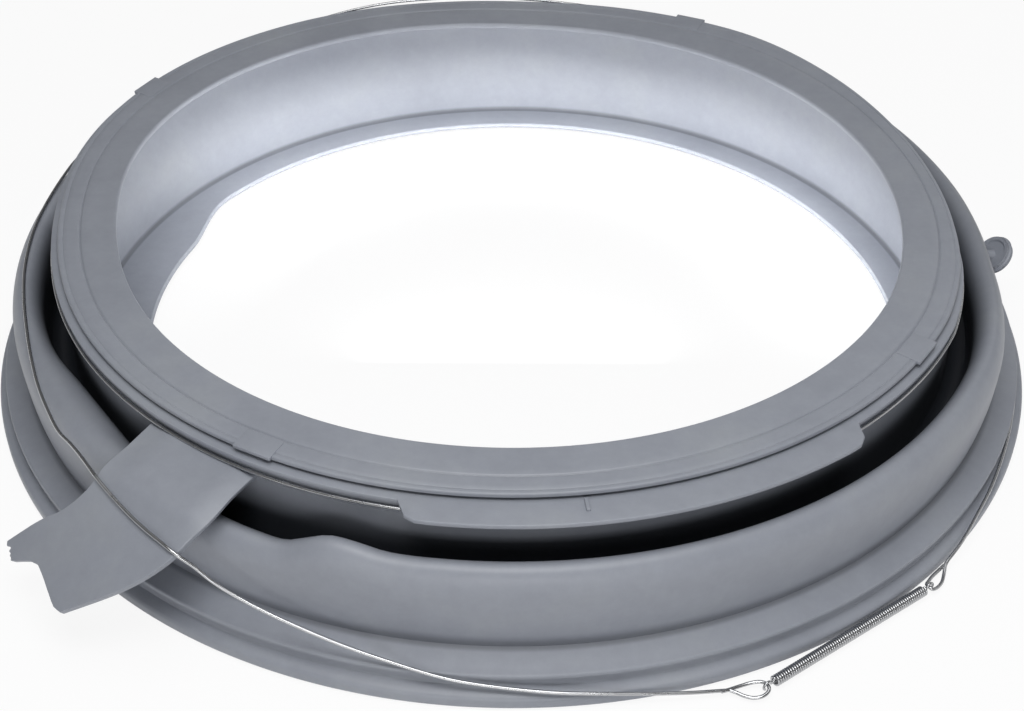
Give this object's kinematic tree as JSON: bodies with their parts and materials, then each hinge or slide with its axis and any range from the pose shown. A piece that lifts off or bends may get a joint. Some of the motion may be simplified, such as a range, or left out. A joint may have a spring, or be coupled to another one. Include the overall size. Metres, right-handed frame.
{
  "type": "washing machine door seal",
  "caption": "Round rubber bellows seal between a washing machine's door opening and its tub, with a moulded tongue, a retaining wire ring and a spring-tensioned clamp wire.",
  "frame": {"origin": "on the seal's axis, in the plane of the tub face that the seal lies on", "axes": "+Z from the tub face to the door face, -Y towards the side where the clamp wire is hooked to its spring"},
  "size_m": [0.4086, 0.4086, 0.0645],
  "materials": {
    "grey_rubber": "satin grey moulded rubber",
    "bright_steel": "bright drawn stainless spring wire"
  },
  "bodies": {
    "root": {"gasket": "grey_rubber", "clamp_wire": "bright_steel", "clamp_spring": "bright_steel", "front_wire": "bright_steel"}
  },
  "joints": []
}
